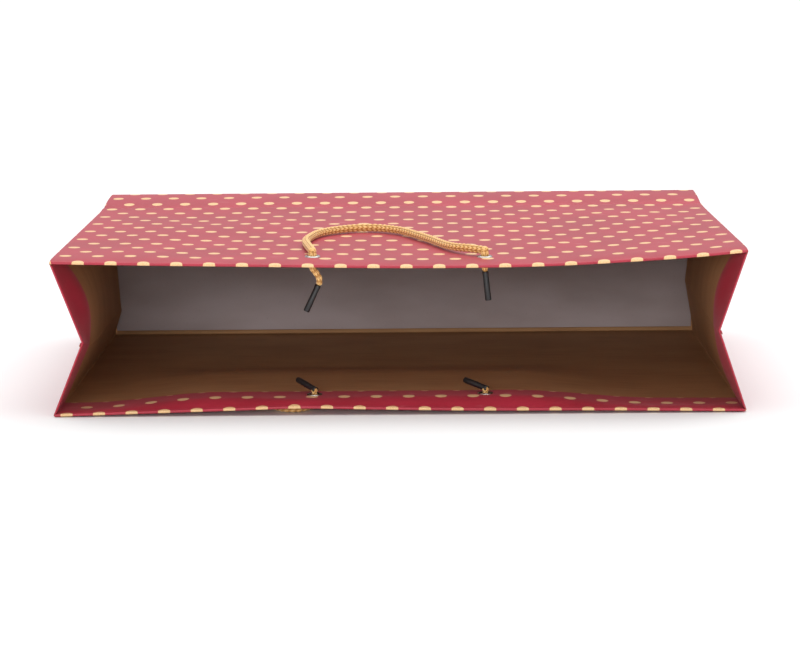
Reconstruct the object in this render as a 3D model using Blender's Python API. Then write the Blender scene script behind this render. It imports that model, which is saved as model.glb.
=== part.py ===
"""A paper gift bag lying on its back panel with its mouth towards -Y.

Metres, +Z up. X runs across the bag's width, Y from the mouth to the base, and the
origin is under the middle of the bag, on the surface that it lies on.
"""

import math

import bmesh
import bpy
from mathutils import Matrix, Vector

# Driving dimensions of the bag
WIDTH = 0.400
HEIGHT = 0.300
DEPTH = 0.098
PAPER = 0.0005
GAP = 0.0003
HEM_DEPTH = 0.035
HEM_CARD_DEPTH = 0.031
CARD_THICK = 0.0006
HEM_STACK = 2 * PAPER + CARD_THICK + 2 * GAP  # panel, card and hem with their gaps
BASE_CARD_THICK = 0.0015

# The front panel's ready-made fold lies half the base's depth from the base. At rest the
# strip beside the base slopes down to it, and the panel goes on down to the mouth.
STRIP = DEPTH / 2
PANEL_LENGTH = HEIGHT - STRIP
FOLD_HEIGHT = 0.0935
MOUTH_HEIGHT = 0.0874
STRIP_ANGLE = math.asin((DEPTH - FOLD_HEIGHT) / STRIP)
PANEL_ANGLE = math.asin((FOLD_HEIGHT - MOUTH_HEIGHT) / PANEL_LENGTH)

# The gussets: each half is turned in from its side edge to the middle crease
GUSSET_ANGLE = math.acos((FOLD_HEIGHT + MOUTH_HEIGHT) / 2 / DEPTH)
GUSSET_CLEARANCE = 0.0024  # at the open pivot, the gusset's middle crease
SIDE_EDGE = 0.0012  # distance of a gusset's edge fold from the panel's outer face
BACK_FOLD_CLEARANCE = 0.0040  # along the slanting folds beside the base
FRONT_FOLD_CLEARANCE = 0.0080  # more, because these halves slide towards the base
BASE_FOLD_START = 0.0070  # clear of the base card's ends when the fold turns in

# Handle cords, eyelets and the tips on the cords' ends
CORD = 0.0048
EYELET_SPACING = 0.100
EYELET_FROM_MOUTH = 0.025
EYELET_HOLE = 0.0056
EYELET_BARREL = 0.0064
EYELET_FLANGE = 0.0092
FLANGE_THICK = 0.0005
CORD_AXIS_HEIGHT = 0.0040  # of a handle's swinging axis over the paper
TIP_LENGTH = 0.0170
TIP_WIDTH = 0.0037
TIP_GAP = 0.0006
TIP_PIVOT = 0.0023  # a tip swings about a point this far inside the eyelet's washer
CORD_NECK = 0.0040  # the cord's width inside the bag, where it goes into a tip
ROUND_SIDES = 12

# The back panel bulges up over its own handle, which lies under it
BULGE = 0.0062
BULGE_X = (-0.185, -0.106, 0.062, 0.150)
BULGE_Y = (0.100, 0.170)

FRONT = HEIGHT / 2  # distance of the mouth and the base from the bag's middle
BASE_STACK = 3 * PAPER + 3 * GAP  # the base's flaps outside the panels' ends
BACK_CORD_HEIGHT = CORD / 2 + 0.0001
EYELETS = (("left", -EYELET_SPACING / 2), ("right", EYELET_SPACING / 2))
RED = (0.42, 0.012, 0.028, 1.0)
DARK_RED = (0.22, 0.006, 0.016, 1.0)
KRAFT = (0.17, 0.085, 0.038, 1.0)
LILAC = (0.30, 0.24, 0.25, 1.0)
GOLD = (0.80, 0.42, 0.13, 1.0)
NICKEL = (0.62, 0.60, 0.56, 1.0)
BLACK = (0.012, 0.012, 0.014, 1.0)


def clear_scene():
    for old in list(bpy.data.objects):
        bpy.data.objects.remove(old, do_unlink=True)


def material(name, colour, roughness, metallic=0.0):
    made = bpy.data.materials.new(name)
    made.use_nodes = True
    shader = made.node_tree.nodes["Principled BSDF"]
    shader.inputs["Base Color"].default_value = colour
    shader.inputs["Roughness"].default_value = roughness
    shader.inputs["Metallic"].default_value = metallic
    return made


def add_object(name, mesh, parent, looks):
    made = bpy.data.objects.new(name, mesh)
    bpy.context.scene.collection.objects.link(made)
    made.parent = parent
    made.data.materials.append(material(name, *looks))
    return made


def pivot(name, place, parent=None, angle=(0.0, 0.0, 0.0)):
    """An empty on a joint's axis; the pieces that move with it are its children."""
    made = bpy.data.objects.new(name, None)
    bpy.context.scene.collection.objects.link(made)
    made.parent = parent
    made.location = place
    made.rotation_euler = angle
    return made


def mesh_from(name, build):
    bm = bmesh.new()
    build(bm)
    bmesh.ops.recalc_face_normals(bm, faces=bm.faces)
    mesh = bpy.data.meshes.new(name)
    bm.to_mesh(mesh)
    bm.free()
    return mesh


def smooth_step(value):
    value = min(1.0, max(0.0, value))
    return value * value * (3.0 - 2.0 * value)


def bulge(x, from_mouth):
    """How far the back panel stands off the table over its handle cord."""
    left = smooth_step((x - BULGE_X[0]) / (BULGE_X[1] - BULGE_X[0]))
    right = smooth_step((BULGE_X[3] - x) / (BULGE_X[3] - BULGE_X[2]))
    back = smooth_step((BULGE_Y[1] - from_mouth) / (BULGE_Y[1] - BULGE_Y[0]))
    return BULGE * left * right * back


# Flat and bulged sheets


def slab(name, outline, thick, parent, looks, place=(0, 0, 0), angle=(0, 0, 0)):
    """A flat sheet: an outline in X and Y, with its thickness going up from Z = 0."""

    def build(bm):
        face = bm.faces.new([bm.verts.new((x, y, 0.0)) for x, y in outline])
        grown = bmesh.ops.extrude_face_region(bm, geom=[face])
        raised = [v for v in grown["geom"] if isinstance(v, bmesh.types.BMVert)]
        bmesh.ops.translate(bm, verts=raised, vec=(0.0, 0.0, thick))

    made = add_object(name, mesh_from(name, build), parent, looks)
    made.location = place
    made.rotation_euler = angle
    return made


def rectangle(x0, y0, x1, y1):
    return [(x0, y0), (x1, y0), (x1, y1), (x0, y1)]


def bulged_sheet(name, x_lines, y_lines, low, thick, parent, looks):
    """A sheet that follows the back panel's bulge, its underside at the height low."""

    def build(bm):
        layers = []
        for height in (low, low + thick):
            layers.append(
                [
                    [bm.verts.new((x, y, height + bulge(x, y + FRONT))) for x in x_lines]
                    for y in y_lines
                ]
            )
        last_x, last_y = len(x_lines) - 1, len(y_lines) - 1
        for layer in layers:
            for j in range(last_y):
                for i in range(last_x):
                    a, b = layer[j][i], layer[j][i + 1]
                    c, d = layer[j + 1][i + 1], layer[j + 1][i]
                    bm.faces.new((a, b, c))
                    bm.faces.new((a, c, d))
        rim = [(0, i) for i in range(last_x)] + [(j, last_x) for j in range(last_y)]
        rim += [(last_y, i) for i in range(last_x, 0, -1)] + [(j, 0) for j in range(last_y, 0, -1)]
        below, above = layers
        for (j, i), (k, m) in zip(rim, rim[1:] + rim[:1]):
            bm.faces.new((below[j][i], below[k][m], above[k][m], above[j][i]))

    return add_object(name, mesh_from(name, build), parent, looks)


def holes(sheet, centres, width):
    """Punches round holes of this width straight through a sheet, at (x, y) centres."""
    for number, (x, y) in enumerate(centres):

        def build(bm):
            bmesh.ops.create_cone(
                bm, cap_ends=True, segments=ROUND_SIDES, radius1=width / 2,
                radius2=width / 2, depth=0.05, matrix=Matrix.Translation((x, y, 0.0)),
            )

        name = f"{sheet.name}_punch_{number}"
        punch = bpy.data.objects.new(name, mesh_from(name, build))
        bpy.context.scene.collection.objects.link(punch)
        punch.parent = sheet.parent
        punch.hide_render = True
        punch.display_type = "WIRE"
        cut = sheet.modifiers.new("punch", "BOOLEAN")
        cut.operation = "DIFFERENCE"
        cut.solver = "EXACT"
        cut.object = punch


# Round pieces


def turned(name, profile, parent, looks, place):
    """A ring turned about Z; the profile is a closed loop of (radius, height)."""

    def build(bm):
        rings = []
        for side in range(ROUND_SIDES):
            turn = 2.0 * math.pi * side / ROUND_SIDES
            rings.append(
                [bm.verts.new((r * math.cos(turn), r * math.sin(turn), z)) for r, z in profile]
            )
        for ring, following in zip(rings, rings[1:] + rings[:1]):
            for k in range(len(profile)):
                m = (k + 1) % len(profile)
                bm.faces.new((ring[k], ring[m], following[m], following[k]))

    mesh = mesh_from(name, build)
    mesh.shade_smooth()
    mesh.set_sharp_from_angle(angle=math.radians(40))
    made = add_object(name, mesh, parent, looks)
    made.location = place
    return made


def eyelet(name, parent, place, through, up):
    """A flanged barrel; through is the thickness it spans, and up points out of the bag."""
    hole, barrel, flange = EYELET_HOLE / 2, EYELET_BARREL / 2, EYELET_FLANGE / 2
    profile = [
        (hole, -through * up),
        (barrel, -through * up),
        (barrel, GAP * up),
        (flange, GAP * up),
        (flange - 0.0002, (GAP + FLANGE_THICK) * up),
        (hole, (GAP + FLANGE_THICK) * up),
    ]
    return turned(name, profile, parent, (NICKEL, 0.25, 1.0), place)


def washer(name, parent, place, up):
    """The ring on the inner side, which the barrel is set into."""
    inner = EYELET_BARREL / 2 + GAP
    profile = [
        (inner, -GAP * up),
        (EYELET_FLANGE / 2, -GAP * up),
        (EYELET_FLANGE / 2, -(GAP + FLANGE_THICK) * up),
        (inner, -(GAP + FLANGE_THICK) * up),
    ]
    return turned(name, profile, parent, (NICKEL, 0.25, 1.0), place)


def smooth_route(points, spacing):
    """Points about this far apart on a smooth curve through the given points."""
    knots = [Vector(p) for p in points]
    fine = []
    for k in range(len(knots) - 1):
        before = knots[max(k - 1, 0)]
        after = knots[min(k + 2, len(knots) - 1)]
        a, b = knots[k], knots[k + 1]
        leave = (b - before) / 2 if k else b - a
        arrive = (after - a) / 2 if k < len(knots) - 2 else b - a
        for step in range(20):
            t = step / 20
            fine.append(
                a * (2 * t**3 - 3 * t**2 + 1) + leave * (t**3 - 2 * t**2 + t)
                + b * (3 * t**2 - 2 * t**3) + arrive * (t**3 - t**2)
            )
    fine.append(knots[-1])
    lengths = [0.0]
    for a, b in zip(fine, fine[1:]):
        lengths.append(lengths[-1] + (b - a).length)
    count = max(1, round(lengths[-1] / spacing))
    picked, at = [], 0
    for n in range(count + 1):
        goal = lengths[-1] * n / count
        while at < len(fine) - 2 and lengths[at + 1] < goal:
            at += 1
        span = max(lengths[at + 1] - lengths[at], 1e-9)
        picked.append(fine[at].lerp(fine[at + 1], (goal - lengths[at]) / span))
    return picked


def tube(name, points, width, parent, looks, spacing):
    """A round cord or bar along a smooth curve, with closed ends."""
    route = smooth_route(points, spacing)
    curve = bpy.data.curves.new(name, "CURVE")
    curve.dimensions = "3D"
    curve.bevel_depth = width / 2
    curve.bevel_resolution = 2
    curve.use_fill_caps = True
    line = curve.splines.new("POLY")
    line.points.add(len(route) - 1)
    for point, place in zip(line.points, route):
        point.co = (*place, 1.0)
    return add_object(name, curve, parent, looks)


# The bag's walls

PAPER_OUT = (RED, 0.35)
PAPER_IN = (DARK_RED, 0.40)


def back_wall(bag):
    """The back panel, lying on the table, with the hem turned in at the mouth."""
    left, right = -WIDTH / 2 + PAPER, WIDTH / 2 - PAPER
    x_lines = [left, -0.185, -0.165, -0.145, -0.125, -0.106, -0.065, -0.035, 0.035]
    x_lines += [0.062, 0.084, 0.106, 0.128, 0.150, right]
    y_lines = [-FRONT + y for y in (0.0, 0.012, 0.035, 0.070, 0.100, 0.118, 0.135, 0.152, 0.170)]
    panel = bulged_sheet("back_panel", x_lines, y_lines + [FRONT], 0.0, PAPER, bag, PAPER_OUT)
    inset = 0.0025
    hem_x = [left + inset] + x_lines[1:-1] + [right - inset]
    hem_y = [-FRONT + y for y in (0.0002, 0.012, 0.024, HEM_DEPTH)]
    card_y = [-FRONT + y for y in (0.0015, 0.012, 0.024, HEM_CARD_DEPTH)]
    low = PAPER + GAP
    card = bulged_sheet(
        "back_hem_card", hem_x, card_y, low, CARD_THICK, bag, ((0.35, 0.30, 0.26, 1.0), 0.8)
    )
    low += CARD_THICK + GAP
    hem = bulged_sheet("back_hem", hem_x, hem_y, low, PAPER, bag, PAPER_IN)
    for sheet in (panel, card, hem):
        centres = [(x, -FRONT + EYELET_FROM_MOUTH) for _, x in EYELETS]
        holes(sheet, centres, EYELET_BARREL + 2 * GAP)


def front_wall(strip_pivot, panel_pivot):
    """The strip next to the base, the front panel and its hem; down is into the bag."""
    half = WIDTH / 2 - PAPER
    slab(
        "front_base_strip", rectangle(-half, -STRIP + GAP, half, -GAP), PAPER,
        strip_pivot, PAPER_OUT, place=(0, 0, -PAPER),
    )
    panel = slab(
        "front_panel", rectangle(-half, -PANEL_LENGTH, half, -GAP), PAPER,
        panel_pivot, PAPER_OUT, place=(0, 0, -PAPER),
    )
    inset = half - 0.0025
    low = PAPER + GAP + CARD_THICK
    card = slab(
        "front_hem_card",
        rectangle(-inset, -PANEL_LENGTH + 0.0015, inset, -PANEL_LENGTH + HEM_CARD_DEPTH),
        CARD_THICK, panel_pivot, ((0.35, 0.30, 0.26, 1.0), 0.8), place=(0, 0, -low),
    )
    low += GAP + PAPER
    hem = slab(
        "front_hem",
        rectangle(-inset, -PANEL_LENGTH + 0.0002, inset, -PANEL_LENGTH + HEM_DEPTH),
        PAPER, panel_pivot, PAPER_IN, place=(0, 0, -low),
    )
    centres = [(x, -PANEL_LENGTH + EYELET_FROM_MOUTH) for _, x in EYELETS]
    for sheet in (panel, card, hem):
        holes(sheet, centres, EYELET_BARREL + 2 * GAP)


def half_reach(height):
    """How long a gusset's half is where the panels are this far apart."""
    return (height / 2 - SIDE_EDGE) / math.cos(GUSSET_ANGLE) - GUSSET_CLEARANCE


def gusset_half(name, edge, inward, mouth_y, clearance):
    """One half of a side gusset, turned in about the panel's side edge.

    The sheet lies in local X (from the edge to the gusset's middle crease) and Y, and
    ends along the slanting fold that runs to the corner of the base. inward is the sign
    of local Z that points into the bag.
    """
    at_mouth, at_fold = half_reach(MOUTH_HEIGHT), half_reach(FOLD_HEIGHT)
    near = 0.0012
    corner = mouth_y + HEIGHT - clearance
    outline = [
        (near, mouth_y),
        (at_mouth, mouth_y),
        (at_fold, corner - at_fold),
        (near, corner - near),
    ]
    slab(name, outline, PAPER, edge, PAPER_OUT, place=(0, 0, min(0.0, -PAPER * inward)))
    hem = rectangle(
        near + 0.0035, mouth_y + 0.0002, at_mouth - 0.0025, mouth_y + HEM_DEPTH
    )
    height = PAPER + GAP if inward > 0 else -2 * PAPER - GAP
    slab(name + "_hem", hem, PAPER, edge, PAPER_IN, place=(0, 0, height))


def gussets(bag, panel_pivot):
    """Each side's two halves and the three-cornered fold beside the base."""
    lean = math.radians(90) - GUSSET_ANGLE
    for word, sign in (("left", -1), ("right", 1)):
        x = sign * (WIDTH / 2 - PAPER / 2)
        # the half's own X axis runs from the side edge towards the middle crease
        turn = lean if sign < 0 else math.pi - lean
        back = pivot(f"{word}_gusset_back_edge", (x, 0, SIDE_EDGE), bag, (0, -turn, 0))
        gusset_half(f"{word}_gusset_back", back, sign, -FRONT, BACK_FOLD_CLEARANCE)
        front = pivot(
            f"{word}_gusset_front_edge", (x, 0, -SIDE_EDGE), panel_pivot, (0, turn, 0)
        )
        gusset_half(
            f"{word}_gusset_front", front, -sign, -PANEL_LENGTH, FRONT_FOLD_CLEARANCE
        )
        base_edge = pivot(
            f"{word}_base_fold_edge", (x, FRONT - 0.0004, FOLD_HEIGHT / 2), bag,
            (0, 0, GUSSET_ANGLE * -sign),
        )
        reach = STRIP - BASE_FOLD_START
        # the sheet's own X runs up the base's side edge and its Y towards the mouth
        slab(
            f"{word}_base_fold", [(-reach, 0.0), (reach, 0.0), (0.0, reach)], PAPER,
            base_edge, PAPER_OUT, place=(-PAPER / 2, -BASE_FOLD_START, 0),
            angle=(math.radians(180), math.radians(-90), 0),
        )


def base(bag):
    """The folded and glued base, from the card inside to the flap outside."""
    upright = (math.radians(90), 0, 0)
    half = WIDTH / 2 - PAPER
    inside = FRONT - 0.0030
    card_top = DEPTH - 0.0035
    slab(
        "base_card", rectangle(-half + 0.0015, 0.0012, half - 0.0015, card_top),
        BASE_CARD_THICK, bag, (LILAC, 0.8), place=(0, inside, 0), angle=upright,
    )
    start = FRONT + GAP + PAPER
    for word, sign in (("left", -1), ("right", 1)):
        outer = sign * half
        inner = sign * (half - STRIP + 0.002)
        outline = [(outer, 0.0015), (outer, DEPTH - 0.0015), (inner, DEPTH - 0.03), (inner, 0.03)]
        slab(
            f"base_side_flap_{word}", outline, PAPER, bag, PAPER_OUT,
            place=(0, start, 0), angle=upright,
        )
    start += PAPER + GAP
    slab(
        "base_flap_back", rectangle(-half, 0.0, half, 0.062), PAPER, bag, PAPER_OUT,
        place=(0, start, 0), angle=upright,
    )
    start += PAPER + GAP
    slab(
        "base_flap_front", rectangle(-half, 0.030, half, DEPTH), PAPER, bag, PAPER_OUT,
        place=(0, start, 0), angle=upright,
    )


# The handles

# (x, distance from the mouth, height against the handle's swinging axis)
FRONT_ROUTE = [
    (-0.0500, 0.0250, 0.0),
    (-0.0509, 0.0320, 0.0),
    (-0.0534, 0.0500, -0.0006),
    (-0.0556, 0.0680, -0.0010),
    (-0.0558, 0.0790, -0.0010),
    (-0.0543, 0.0890, -0.0010),
    (-0.0507, 0.1036, -0.0010),
    (-0.0446, 0.1145, -0.0010),
    (-0.0364, 0.1227, -0.0010),
    (-0.0270, 0.1283, -0.0010),
    (-0.0176, 0.1291, -0.0010),
    (-0.0080, 0.1244, -0.0010),
    (0.0016, 0.1138, -0.0010),
    (0.0110, 0.0948, -0.0010),
    (0.0202, 0.0737, -0.0010),
    (0.0274, 0.0546, -0.0010),
    (0.0335, 0.0425, -0.0006),
    (0.0400, 0.0345, 0.0),
    (0.0455, 0.0290, 0.0),
    (0.0500, 0.0250, 0.0),
]
# The back cord first curls towards the mouth, and that bight stays on the table. It meets
# the loop on the loop's own swinging axis, running along it.
BIGHT_ROUTE = [
    (-0.0500, 0.0250, 0.0),
    (-0.0525, 0.0165, 0.0),
    (-0.0585, 0.0105, 0.0),
    (-0.0660, 0.0105, 0.0),
    (-0.0715, 0.0155, 0.0),
    (-0.0750, 0.0215, 0.0),
    (-0.0780, 0.0247, 0.0),
    (-0.0815, 0.0250, 0.0),
]
BACK_ROUTE = [
    (-0.0842, 0.0250, 0.0),
    (-0.0870, 0.0253, 0.0),
    (-0.0908, 0.0280, 0.0),
    (-0.0940, 0.0340, 0.0),
    (-0.0950, 0.0430, 0.0),
    (-0.0920, 0.0530, 0.0),
    (-0.0840, 0.0630, 0.0),
    (-0.0720, 0.0710, 0.0),
    (-0.0560, 0.0770, 0.0),
    (-0.0400, 0.0805, 0.0),
    (-0.0230, 0.0815, 0.0),
    (-0.0060, 0.0790, 0.0),
    (0.0110, 0.0730, 0.0),
    (0.0260, 0.0640, 0.0),
    (0.0380, 0.0520, 0.0),
    (0.0460, 0.0390, 0.0),
    (0.0490, 0.0320, 0.0),
    (0.0500, 0.0250, 0.0),
]
CORD_LOOKS = (GOLD, 0.55)


def handle(name, parent, place, route):
    """A handle's loop; its empty is on the line through the two eyelets."""
    swing = pivot(name + "_axis", place, parent)
    points = [(x, y - EYELET_FROM_MOUTH, z) for x, y, z in route]
    tube(name, points, CORD, swing, CORD_LOOKS, 0.0095)
    return swing


def cord_end(name, parent, eye, up, inner, outer):
    """The cord's end: through the eyelet, and the stub and plastic tip inside the bag.

    eye is the eyelet's centre (x, y), inner and outer are the heights between which the
    cord stands in the eyelet, and up is +1 where the inside of the bag is above.
    """
    x, y = eye
    span = [(x, y, outer), (x, y, inner)]
    tube(name + "_cord_through", span, CORD, parent, CORD_LOOKS, abs(inner - outer))
    swing = pivot(name + "_tip_axis", (x, y, inner + TIP_PIVOT * up), parent)
    direction, stub = TIPS[name]
    along = Vector(direction).normalized()
    route = [(0.0, 0.0, 0.0), (0.0, 0.0, 0.0008 * up)] + stub
    tube(name + "_cord_end", route, CORD_NECK, swing, CORD_LOOKS, 0.002)
    tip = Vector(stub[-1]) + along * TIP_GAP
    tube(
        name + "_tip", [tip, tip + along * TIP_LENGTH], TIP_WIDTH, swing, (BLACK, 0.4),
        TIP_LENGTH,
    )


# Each tip's direction, and the points that its stub of cord goes through from the pivot
TIPS = {
    "front_left": (
        (-0.425, -0.05, -0.905),
        [
            (0.0020, 0.0, -0.0034),
            (0.0036, 0.0, -0.0062),
            (0.0038, 0.0, -0.0086),
            (0.0031, 0.0, -0.0104),
        ],
    ),
    "front_right": (
        (0.10, -0.05, -0.99),
        [(0.00018, -0.00009, -0.00259), (0.0003, -0.00015, -0.00378)],
    ),
    "back_left": (
        (-0.65, 0.70, 0.25),
        [(-0.00118, 0.00128, 0.00126), (-0.00197, 0.00213, 0.00156)],
    ),
    "back_right": (
        (-0.77, 0.60, 0.22),
        [(-0.00139, 0.00108, 0.00120), (-0.00231, 0.00180, 0.00146)],
    ),
}


def main():
    clear_scene()
    bag = pivot("bag", (0, -BASE_STACK / 2, 0))
    strip_pivot = pivot("front_fold", (0, FRONT, DEPTH), bag, (STRIP_ANGLE, 0, 0))
    panel_pivot = pivot(
        "front_crease", (0, -STRIP, 0), strip_pivot, (PANEL_ANGLE - STRIP_ANGLE, 0, 0)
    )
    back_wall(bag)
    front_wall(strip_pivot, panel_pivot)
    gussets(bag, panel_pivot)
    base(bag)
    face = FLANGE_THICK + GAP  # the height of a washer or a flange over its paper
    for word, x in EYELETS:
        y = -FRONT + EYELET_FROM_MOUTH
        inside = BULGE + HEM_STACK
        outer = BACK_CORD_HEIGHT + CORD / 2 + GAP
        eyelet(f"back_eyelet_{word}", bag, (x, y, BULGE), HEM_STACK, -1)
        washer(f"back_washer_{word}", bag, (x, y, inside), -1)
        name = f"back_{word}"
        cord_end(name, bag, (x, y), 1, inside + face, outer)
    handle("back_handle_cord", bag, (0, y, BACK_CORD_HEIGHT), BACK_ROUTE)
    bight = [(x, y + v - EYELET_FROM_MOUTH, z + BACK_CORD_HEIGHT) for x, v, z in BIGHT_ROUTE]
    tube("back_cord_bight", bight, CORD, bag, CORD_LOOKS, 0.0095)
    for word, x in EYELETS:
        y = -PANEL_LENGTH + EYELET_FROM_MOUTH
        inside = -HEM_STACK
        outer = CORD_AXIS_HEIGHT - CORD / 2 - GAP
        eyelet(f"front_eyelet_{word}", panel_pivot, (x, y, 0), HEM_STACK, 1)
        washer(f"front_washer_{word}", panel_pivot, (x, y, inside), 1)
        name = f"front_{word}"
        cord_end(name, panel_pivot, (x, y), -1, inside - face, outer)
    handle("front_handle_cord", panel_pivot, (0, y, CORD_AXIS_HEIGHT), FRONT_ROUTE)


main()
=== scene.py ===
import math

import bpy
from mathutils import Matrix, Vector, noise


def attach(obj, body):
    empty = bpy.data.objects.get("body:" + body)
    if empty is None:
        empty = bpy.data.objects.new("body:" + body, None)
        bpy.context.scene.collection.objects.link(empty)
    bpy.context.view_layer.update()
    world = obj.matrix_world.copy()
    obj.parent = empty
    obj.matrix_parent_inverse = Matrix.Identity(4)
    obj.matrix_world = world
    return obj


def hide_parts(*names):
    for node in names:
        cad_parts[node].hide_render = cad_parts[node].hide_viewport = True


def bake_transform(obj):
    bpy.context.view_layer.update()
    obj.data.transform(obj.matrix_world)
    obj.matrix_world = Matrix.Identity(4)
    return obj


# A paper gift bag lying on its back panel. World frame, metres: X runs across the bag,
# its mouth is towards -Y, and it lies on the table at Z = 0.

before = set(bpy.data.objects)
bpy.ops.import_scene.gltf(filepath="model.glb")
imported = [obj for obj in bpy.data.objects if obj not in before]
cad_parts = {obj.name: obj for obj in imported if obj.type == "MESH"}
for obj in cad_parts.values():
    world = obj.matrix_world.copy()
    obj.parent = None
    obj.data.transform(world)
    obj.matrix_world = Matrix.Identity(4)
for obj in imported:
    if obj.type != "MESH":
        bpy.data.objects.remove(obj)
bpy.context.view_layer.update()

# The bag's walls
HALF = 0.19975  # from the middle to a side fold
MOUTH_Y = -0.1512
BASE_Y = 0.1488
TOP_Z = 0.0980
PAPER = 0.0005
HEM = 0.0350
HEM_CARD_START, HEM_CARD = 0.0055, 0.0310  # from the mouth
HEM_CARD_THICK = 0.0006
FOLD_RADIUS = 0.0008  # of the printed face where a hem is turned in
HEM_STACK = 0.0022  # from the outer face to the hem's printed face, once clear of the fold
HEM_SWELL = 0.0080  # distance from the mouth over which the fold opens to that thickness
SIDE_RADIUS = 0.0010
HEM_INSET = 0.0016  # each end of a hem stops this far short of the side fold

# The front panel and the strip beside the base, which meet at the ready-made crease
CREASE_Y = 0.1000
CREASE_Z = 0.0935
PANEL = 0.2510
PANEL_ANGLE = math.asin(0.0061 / PANEL)
PANEL_MOUTH_Z = 0.0874
CREASE_DROP = 0.0016  # how much deeper the crease is away from the sides

# How the mouth's two edges wave: (x, height of the fold's lowest line)
LOWER_EDGE = (
    (-0.1998, 0.0001), (-0.144, 0.0016), (-0.092, 0.0030), (-0.057, 0.0038),
    (-0.011, 0.0029), (0.037, 0.0020), (0.115, 0.0014), (0.1998, 0.0004),
)
UPPER_EDGE = (
    (-0.1998, 0.0893), (-0.142, 0.0880), (-0.091, 0.0870), (-0.049, 0.0862),
    (0.0, 0.0854), (0.047, 0.0853), (0.093, 0.0861), (0.138, 0.0883),
    (0.173, 0.0906), (0.1998, 0.0930),
)

# The back panel bulges over the handle cord that lies under it
BULGE = 0.0062
BULGE_AT_MOUTH = 0.0054  # it grows to its full height behind the eyelets
BULGE_X = (-0.185, -0.106, 0.062, 0.150)
BULGE_END = (0.100, 0.170)

# Printed dots in staggered rows; a row lies along each mouth fold
DOT_PITCH = 0.0188
DOT_ROW = 0.01875
DOT_RADIUS = 0.0035

# Handle cords: (x, distance from the mouth, height against the swinging axis)
CORD = 0.0048
STUB_WIDTH = 0.0036
AXIS_OVER_PAPER = 0.0040
BACK_AXIS_Z = 0.0025
EYELET_X = 0.0500
EYELET_V = 0.0250
HOLE_RADIUS = 0.0033  # of the punched hole under an eyelet
FRONT_ROUTE = (
    (-0.0500, 0.0250, 0.0), (-0.0509, 0.0320, 0.0), (-0.0534, 0.0500, -0.0006),
    (-0.0556, 0.0680, -0.0010), (-0.0558, 0.0790, -0.0010), (-0.0543, 0.0890, -0.0010),
    (-0.0507, 0.1036, -0.0010), (-0.0446, 0.1145, -0.0010), (-0.0364, 0.1227, -0.0010),
    (-0.0270, 0.1283, -0.0010), (-0.0176, 0.1291, -0.0010), (-0.0080, 0.1244, -0.0010),
    (0.0016, 0.1138, -0.0010), (0.0110, 0.0948, -0.0010), (0.0202, 0.0737, -0.0010),
    (0.0274, 0.0546, -0.0010), (0.0335, 0.0425, -0.0006), (0.0400, 0.0345, 0.0),
    (0.0455, 0.0290, 0.0), (0.0500, 0.0250, 0.0),
)
BIGHT_ROUTE = (
    (-0.0500, 0.0250, 0.0), (-0.0525, 0.0165, 0.0), (-0.0585, 0.0105, 0.0),
    (-0.0660, 0.0105, 0.0), (-0.0715, 0.0155, 0.0), (-0.0750, 0.0215, 0.0),
    (-0.0780, 0.0247, 0.0), (-0.0815, 0.0250, 0.0),
)
BACK_ROUTE = (
    (-0.0842, 0.0250, 0.0), (-0.0870, 0.0253, 0.0), (-0.0908, 0.0280, 0.0),
    (-0.0940, 0.0340, 0.0), (-0.0950, 0.0430, 0.0), (-0.0920, 0.0530, 0.0),
    (-0.0840, 0.0630, 0.0), (-0.0720, 0.0710, 0.0), (-0.0560, 0.0770, 0.0),
    (-0.0400, 0.0805, 0.0), (-0.0230, 0.0815, 0.0), (-0.0060, 0.0790, 0.0),
    (0.0110, 0.0730, 0.0), (0.0260, 0.0640, 0.0), (0.0380, 0.0520, 0.0),
    (0.0460, 0.0390, 0.0), (0.0490, 0.0320, 0.0), (0.0500, 0.0250, 0.0),
)
COLUMNS = 6  # knitted columns round a cord
KNIT_SIDES = 42
KNIT_SPACING = 0.0005
STITCH = 0.0034
GRIP = 0.0025  # how far a tip holds the cord
GRIP_RUN = 0.0010  # length over which the cord narrows before that
GRIP_SQUEEZE = 0.42

# Plastic tips: the point that each swings about, the tip's direction, and the points that
# its stub of cord goes through, from that point
TIP_LENGTH = 0.0170
TIP_WIDTH = 0.0037
TIPS = {
    "front_left": (
        (-0.05, -0.125797, 0.082709), (-0.425, -0.05, -0.905),
        ((0.0, 0.0, -0.0008), (0.0020, 0.0, -0.0034), (0.0036, 0.0, -0.0062),
         (0.0038, 0.0, -0.0086), (0.0031, 0.0, -0.0104)),
    ),
    "front_right": (
        (0.05, -0.125797, 0.082709), (0.10, -0.05, -0.99),
        ((0.0, 0.0, -0.0008), (0.0002, -0.0001, -0.0020), (0.0003, -0.0001, -0.0032)),
    ),
    "back_left": (
        (-0.05, -0.1262, 0.0106), (-0.65, 0.70, 0.25),
        ((0.0, 0.0, -0.0008), (0.0010, -0.0011, -0.0002)),
    ),
    "back_right": (
        (0.05, -0.1262, 0.0106), (-0.77, 0.60, 0.22),
        ((0.0, 0.0, -0.0008), (0.0012, -0.0009, -0.0002)),
    ),
}

# Camera
CAMERA_PLACE = (0.0161, -1.6040, 0.2775)
CAMERA_LENS = 115.44
CAMERA_PITCH = math.radians(8.81)
CAMERA_YAW = math.radians(-0.607)
CAMERA_ROLL = math.radians(-0.543)


# Curves and lines


def smooth_step(value):
    value = min(1.0, max(0.0, value))
    return value * value * (3.0 - 2.0 * value)


def hermite(a, b, leave, arrive, t):
    return (
        a * (2 * t**3 - 3 * t**2 + 1) + leave * (t**3 - 2 * t**2 + t)
        + b * (3 * t**2 - 2 * t**3) + arrive * (t**3 - t**2)
    )


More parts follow.
